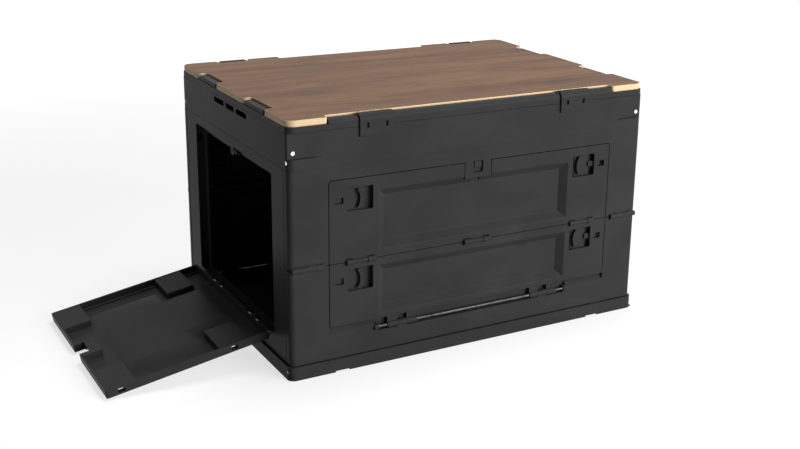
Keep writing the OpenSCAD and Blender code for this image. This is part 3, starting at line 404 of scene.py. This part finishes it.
@dataclass
class RoundedEdges:
    """Gives a moulded or turned part the small radii that its tool leaves on every edge."""

    width: float = 0.0008
    segments: int = 2
    weld: float = 2e-6
    flat_deg: float = 0.3
    sharp_deg: float = 16.0
    smooth_deg: float = 32.0
    spare: float = 0.45
    least: float = 0.12
    square_turn: float = 0.25
    same_way: float = 0.3
    open_side: float = 1.0
    reach: float = 3.0
    fill_share: float = 0.002
    fill_least: float = 2e-8
    tries: int = 7

    def facing(self, mesh: bpy.types.Mesh) -> dict[tuple, float]:
        """Finds how near each edge lies to an edge that faces it across the same face.

        Args:
            mesh: the merged mesh.

        Returns:
            The least distance in metres by the edge's key.
        """
        nearest: dict[tuple, float] = {}
        for face in mesh.polygons:
            count = len(face.vertices)
            if count < 4:
                continue
            index = np.array(face.vertices)
            start = np.array([mesh.vertices[i].co for i in face.vertices])
            run = np.roll(start, -1, axis=0) - start
            length = np.maximum(np.linalg.norm(run, axis=1), 1e-9)
            along = run / length[:, None]
            inward = np.cross(np.array(face.normal), along)
            offset = start[None, :, :] - start[:, None, :]
            place = np.clip(np.einsum("ijk,ik->ij", offset, along), 0.0, length[:, None])
            gap = np.linalg.norm(offset - place[:, :, None] * along[:, None, :], axis=2)
            gap = np.minimum(gap, np.roll(gap, -1, axis=1))
            gap = np.minimum(gap, gap.T)
            after = np.roll(index, -1)
            shared = (index[:, None] == index) | (index[:, None] == after) | (after[:, None] == index) | (
                after[:, None] == after)
            gap[shared | (inward @ inward.T > self.same_way)] = self.open_side
            for key, least in zip(face.edge_keys, gap.min(axis=1)):
                nearest[key] = min(nearest.get(key, self.open_side), float(least))
        return nearest

    def weights(self, mesh: bpy.types.Mesh, tight: set[int]) -> None:
        """Weighs each sharp edge by the room that its neighbours leave for a radius.

        Args:
            mesh: the merged mesh.
            tight: vertices whose edges stay sharp.
        """
        sides: dict[tuple, list[Vector]] = {}
        for face in mesh.polygons:
            for key in face.edge_keys:
                sides.setdefault(key, []).append(face.normal)
        points = [vertex.co for vertex in mesh.vertices]
        around: dict[int, list[tuple[int, Vector]]] = {}
        for edge in mesh.edges:
            a, b = edge.vertices
            run = points[b] - points[a]
            around.setdefault(a, []).append((edge.index, run))
            around.setdefault(b, []).append((edge.index, -run))
        nearest = self.facing(mesh)
        layer = mesh.attributes.new("bevel_weight_edge", "FLOAT", "EDGE")
        limit = math.cos(math.radians(self.sharp_deg))
        for edge in mesh.edges:
            normals = sides.get(edge.key, [])
            if len(normals) != 2 or normals[0].dot(normals[1]) >= limit:
                continue
            if edge.vertices[0] in tight and edge.vertices[1] in tight:
                continue
            along = (points[edge.vertices[1]] - points[edge.vertices[0]]).normalized()
            room = min(1.0, self.spare * nearest.get(edge.key, self.open_side) / self.width)
            for end in edge.vertices:
                for index, run in around[end]:
                    length = run.length
                    if index == edge.index or length == 0.0:
                        continue
                    turn = math.sqrt(max(0.0, 1.0 - (run.dot(along) / length) ** 2))
                    if turn > self.square_turn:
                        room = min(room, self.spare * length * turn / self.width)
            if room > self.least:
                layer.data[edge.index].value = room

    def misfilled(self, mesh: bpy.types.Mesh) -> list[Vector]:
        """Finds the corners of faces whose outline crosses itself.

        Args:
            mesh: the rounded mesh.

        Returns:
            The corners' places.
        """
        mesh.calc_loop_triangles()
        filled: dict[int, float] = {}
        for part in mesh.loop_triangles:
            filled[part.polygon_index] = filled.get(part.polygon_index, 0.0) + part.area
        found: list[Vector] = []
        for face in mesh.polygons:
            allowed = max(self.fill_least, self.fill_share * face.area)
            if len(face.vertices) > 4 and abs(filled[face.index] - face.area) > allowed:
                found.extend(mesh.vertices[i].co.copy() for i in face.vertices)
        return found

    def bare(self, node: str, name: str, merge: bool) -> bpy.types.Object:
        """Copies a CAD node and joins its loose triangles.

        Args:
            node: the CAD node.
            name: the new piece's name.
            merge: whether triangles in one plane become one face.

        Returns:
            The new piece, in the node's place.
        """
        piece = bpy.data.objects.new(name, frame["nodes"][node].data.copy())
        bpy.context.scene.collection.objects.link(piece)
        only(piece)
        bpy.ops.mesh.customdata_custom_splitnormals_clear()
        bpy.ops.object.mode_set(mode="EDIT")
        bpy.ops.mesh.select_all(action="SELECT")
        bpy.ops.mesh.remove_doubles(threshold=self.weld)
        if merge:
            bpy.ops.mesh.dissolve_limited(angle_limit=math.radians(self.flat_deg))
        bpy.ops.object.mode_set(mode="OBJECT")
        return piece

    def attempt(self, node: str, name: str, crossed: list[Vector]) -> bpy.types.Object:
        """Copies a CAD node and rounds its edges once.

        Args:
            node: the CAD node.
            name: the new piece's name.
            crossed: places where an earlier attempt made outlines cross.

        Returns:
            The new piece, in the node's place.
        """
        piece = self.bare(node, name, merge=True)
        tree = KDTree(max(1, len(crossed)))
        for place, corner in enumerate(crossed):
            tree.insert(corner, place)
        tree.balance()
        near = self.reach * self.width
        tight = {v.index for v in piece.data.vertices if crossed and tree.find(v.co)[2] < near}
        self.weights(piece.data, tight)
        bevel = piece.modifiers.new("radii", "BEVEL")
        bevel.limit_method = "WEIGHT"
        bevel.width = self.width
        bevel.segments = self.segments
        bevel.use_clamp_overlap = False
        bpy.ops.object.modifier_apply(modifier=bevel.name)
        return piece

    def copy_of(self, node: str, name: str) -> bpy.types.Object:
        """Rounds a copy of a CAD node, and leaves an edge sharp where its radius would cross another.

        Args:
            node: the CAD node.
            name: the new piece's name.

        Returns:
            The new piece.
        """
        crossed: list[Vector] = []
        for _ in range(self.tries):
            piece = self.attempt(node, name, crossed)
            bad = self.misfilled(piece.data)
            if not bad:
                break
            crossed += bad
            bpy.data.objects.remove(piece)
        else:
            piece = self.bare(node, name, merge=False)
            log.info("%s keeps its sharp edges", node)
        bpy.ops.object.shade_smooth_by_angle(angle=math.radians(self.smooth_deg))
        flat = piece.modifiers.new("flat faces", "WEIGHTED_NORMAL")
        flat.keep_sharp = True
        flat.weight = 100
        bpy.ops.object.modifier_apply(modifier=flat.name)
        return piece


@dataclass
class Assembly:
    """A set of pieces that share one way of being made."""

    materials: dict[Finish, bpy.types.Material]
    radii: RoundedEdges = field(default_factory=RoundedEdges)
    pieces: list[bpy.types.Object] = field(default_factory=list)

    def dress(self, piece: bpy.types.Object, finish: Finish) -> None:
        """Gives a piece its one material."""
        piece.data.materials.clear()
        piece.data.materials.append(self.materials[finish])

    def mould(self, node: str, finish: Finish) -> bpy.types.Object:
        """Stands a rounded copy in for a CAD node.

        Args:
            node: the CAD node.
            finish: its finish.

        Returns:
            The piece.
        """
        piece = self.radii.copy_of(node, f"{node}_made")
        self.dress(piece, finish)
        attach(piece, frame["nodes"][node]["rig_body"])
        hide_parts(node)
        self.pieces.append(piece)
        log.info("%s: %d faces", piece.name, len(piece.data.polygons))
        return piece


@dataclass
class Moulding(Assembly):
    """Plastic parts straight from the mould."""

    nodes: tuple[str, ...] = ()

    def build(self) -> None:
        """Makes every part."""
        for node in self.nodes:
            self.mould(node, Finish.BLACK)


@dataclass
class SteelWork(Assembly):
    """Rods, pins and screws."""

    nodes: tuple[str, ...] = ()
    # The slim pins and the drop rod take a darker copy of the plated steel, a painted dark reflection.
    painted_reflection_nodes: tuple[str, ...] = ("front_drop_rod", "leaf_pins", "front_fold_pins", "back_fold_pins", "clip_pins",
                              "rear_hinge_pins")
    painted_reflection_finish: BrightSteel = BrightSteel("blued_steel", srgb(74, 74, 76), srgb(46, 46, 48), 0.3)

    def build(self) -> None:
        """Makes every part; the slim pins and the drop rod get a darker copy of the steel, a painted dark
        reflection.
        """
        dark = self.painted_reflection_finish.build()
        for node in self.nodes:
            piece = self.mould(node, Finish.STEEL)
            # Painted dark reflection: these parts get the darker copy of the steel.
            if node in self.painted_reflection_nodes:
                piece.data.materials[0] = dark


@dataclass
class TableTop(Assembly):
    """The wooden board of the lid."""

    def build(self) -> None:
        """Makes the board with its eased edges."""
        self.radii = RoundedEdges(width=0.0012, segments=3)
        self.mould("table_board", Finish.BOARD)


# Studio ---------------------------------------------------------------------


@dataclass(frozen=True)
class PhotoCamera:
    """The camera that took the photograph, fitted to the crate's straight edges."""

    azimuth: float = -31.37
    elevation: float = 16.97
    roll: float = 1.51
    distance: float = 2035.88 * MM
    target: tuple = (109.17 * MM, 0.0, 163.65 * MM)
    focal_px: float = 1224.21
    centre_px: tuple = (465.89, 191.63)

    def build(self) -> bpy.types.Object:
        """Makes the camera and puts it to use."""
        turn, rise, roll = (math.radians(v) for v in (self.azimuth, self.elevation, self.roll))
        back = Vector((math.sin(turn) * math.cos(rise), -math.cos(turn) * math.cos(rise), math.sin(rise)))
        right = (-back).cross(Vector((0, 0, 1))).normalized()
        up = right.cross(-back)
        across = right * math.cos(roll) + up * math.sin(roll)
        above = -right * math.sin(roll) + up * math.cos(roll)
        data = bpy.data.cameras.new("photo_camera")
        data.sensor_width = 36.0
        data.lens = self.focal_px / PHOTO_WIDTH * data.sensor_width
        data.shift_x = (PHOTO_WIDTH / 2 - self.centre_px[0]) / PHOTO_WIDTH
        data.shift_y = (self.centre_px[1] - PHOTO_HEIGHT / 2) / PHOTO_WIDTH
        data.clip_end = 60.0
        camera = bpy.data.objects.new("photo_camera", data)
        bpy.context.scene.collection.objects.link(camera)
        turned = Matrix((across, above, back)).transposed().to_4x4()
        turned.translation = Vector(self.target) + back * self.distance
        camera.matrix_world = turned
        bpy.context.scene.camera = camera
        return camera


@dataclass(frozen=True)
class SoftBox:
    """A large soft lamp."""

    name: str
    place: tuple
    aim: tuple
    size: tuple
    watts: float

    def build(self) -> None:
        """Makes the lamp."""
        data = bpy.data.lights.new(self.name, "AREA")
        data.shape = "RECTANGLE"
        data.size, data.size_y = self.size
        data.energy = self.watts
        lamp = bpy.data.objects.new(self.name, data)
        bpy.context.scene.collection.objects.link(lamp)
        lamp.location = self.place
        lamp.rotation_euler = (Vector(self.aim) - Vector(self.place)).to_track_quat("-Z", "Y").to_euler()


@dataclass(frozen=True)
class Studio:
    """Pale floor, white surroundings and soft lamps."""

    floor_size: float = 24.0
    floor_tone: float = 0.4
    floor_lift: float = 0.7
    near: float = 0.7
    far: float = 2.4
    ambient: float = 0.05
    lamps: tuple = (
        SoftBox("front_lamp", (1.3, -2.6, 1.0), (0.0, 0.0, 0.1), (2.4, 1.6), 104.0),
        SoftBox("top_lamp", (0.3, 0.15, 2.5), (0.05, 0.0, 0.3), (1.3, 1.1), 38.0),
    )

    def seen(self, tree: Tree) -> Number:
        """One for rays that should find the white surroundings: seen, mirrored or through glass."""
        path = tree.add("ShaderNodeLightPath").outputs
        kinds = ("Is Camera Ray", "Is Glossy Ray", "Is Transmission Ray")
        camera, mirror, glass = (Number(tree, path[kind]) for kind in kinds)
        return camera + mirror + glass

    def floor(self) -> None:
        """Makes the floor, lifted towards white only where the camera looks at it."""
        bpy.ops.object.select_all(action="DESELECT")
        bpy.ops.mesh.primitive_plane_add(size=self.floor_size)
        piece = bpy.context.object
        piece.name = "studio_floor"
        tree = Tree("studio_floor")
        tone = self.floor_tone
        matt = tree.add("ShaderNodeBsdfDiffuse", Color=(tone, tone, tone, 1.0))
        glow = tree.add("ShaderNodeEmission", Color=(1.0, 1.0, 1.0, 1.0))
        across, along = tree.axis("X"), tree.axis("Y")
        far = (across * across + along * along).step(self.near ** 2, self.far ** 2)
        lift = far * (1.0 - self.floor_lift) + self.floor_lift
        tree.feed(glow.inputs["Strength"], self.seen(tree) * lift)
        both = tree.add("ShaderNodeAddShader")
        tree.links.new(matt.outputs[0], both.inputs[0])
        tree.links.new(glow.outputs[0], both.inputs[1])
        tree.add("ShaderNodeOutputMaterial", Surface=both.outputs[0])
        piece.data.materials.append(tree.material)

    def surroundings(self) -> None:
        """Makes the world: white to the camera, soft light to the object."""
        world = bpy.data.worlds.new("studio")
        bpy.context.scene.world = world
        world.use_nodes = True
        nodes, links = world.node_tree.nodes, world.node_tree.links
        nodes.clear()
        path = nodes.new("ShaderNodeLightPath")
        mix = nodes.new("ShaderNodeMapRange")
        mix.inputs["To Min"].default_value = self.ambient
        seen = path.outputs["Is Camera Ray"]
        for kind in ("Is Glossy Ray", "Is Transmission Ray"):
            total = nodes.new("ShaderNodeMath")
            links.new(seen, total.inputs[0])
            links.new(path.outputs[kind], total.inputs[1])
            seen = total.outputs[0]
        links.new(seen, mix.inputs["Value"])
        glow = nodes.new("ShaderNodeBackground")
        links.new(mix.outputs["Result"], glow.inputs["Strength"])
        output = nodes.new("ShaderNodeOutputWorld")
        links.new(glow.outputs[0], output.inputs["Surface"])

    def build(self) -> None:
        """Makes all of it."""
        self.floor()
        self.surroundings()
        for lamp in self.lamps:
            lamp.build()
        bpy.context.scene.view_settings.view_transform = "Standard"


# The chuck box --------------------------------------------------------------


def main() -> None:
    """Builds the studio and dresses every sub-assembly."""
    logging.basicConfig(level=logging.INFO, format="%(name)s: %(message)s")
    PhotoCamera().build()
    Studio().build()
    materials = build_finishes()
    slots = {row["node"]: row["material_slot"] for row in frame["record"]["subparts"]}
    plastic = tuple(n for n, s in slots.items() if s == Finish.BLACK.value)
    steel = tuple(n for n, s in slots.items() if s == Finish.STEEL.value)
    for assembly in (
        Moulding(materials, nodes=plastic),
        SteelWork(materials, RoundedEdges(width=0.0004), nodes=steel),
        TableTop(materials),
    ):
        assembly.build()
        log.info("%s: %d pieces", type(assembly).__name__, len(assembly.pieces))


if __name__ == "__main__":
    main()
